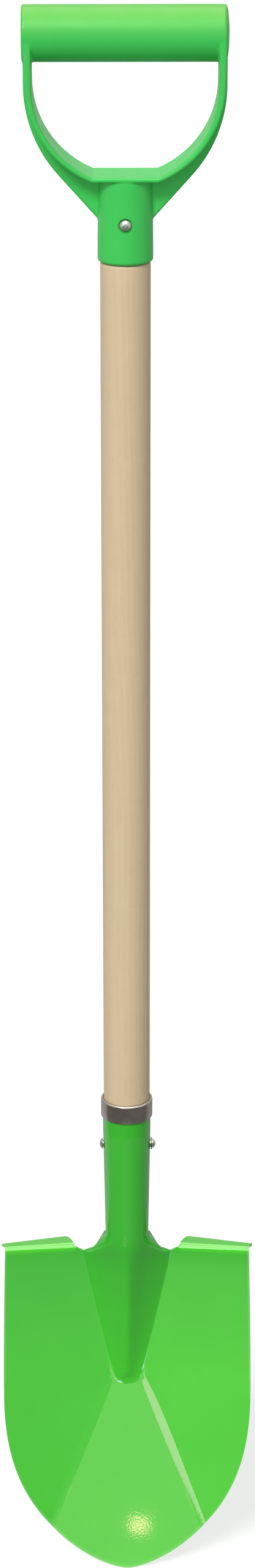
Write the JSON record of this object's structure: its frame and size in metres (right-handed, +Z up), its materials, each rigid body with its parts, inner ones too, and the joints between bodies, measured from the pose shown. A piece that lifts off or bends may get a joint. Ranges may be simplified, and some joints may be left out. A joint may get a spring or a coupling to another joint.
{
  "type": "pointed shovel",
  "caption": "Pointed digging shovel with a pressed steel blade and rolled socket, a straight wooden shaft and a moulded plastic D grip.",
  "frame": {"origin": "on the shaft's centre line, at the height of the blade's pointed tip", "axes": "+Z up along the shaft from the blade to the grip, -Y towards the blade's dished front, +X to the right as seen from the front"},
  "size_m": [0.1368, 0.0299, 0.8695],
  "materials": {
    "blade_paint": "gloss green enamel with a light orange peel",
    "ferrule_steel": "bright rolled steel, slightly dull",
    "shaft_wood": "sanded pale hardwood, satin",
    "grip_plastic": "moulded green plastic, semi-matt",
    "screw_steel": "zinc plated",
    "rivet_steel": "plain steel, burnished head"
  },
  "bodies": {
    "root": {"blade": "blade_paint", "socket_ferrule": "ferrule_steel", "handle_shaft": "shaft_wood", "d_handle": "grip_plastic", "grip_end_plug": "grip_plastic", "grip_screw": "screw_steel", "socket_rivet": "rivet_steel", "rivet_washer": "rivet_steel"}
  },
  "joints": []
}
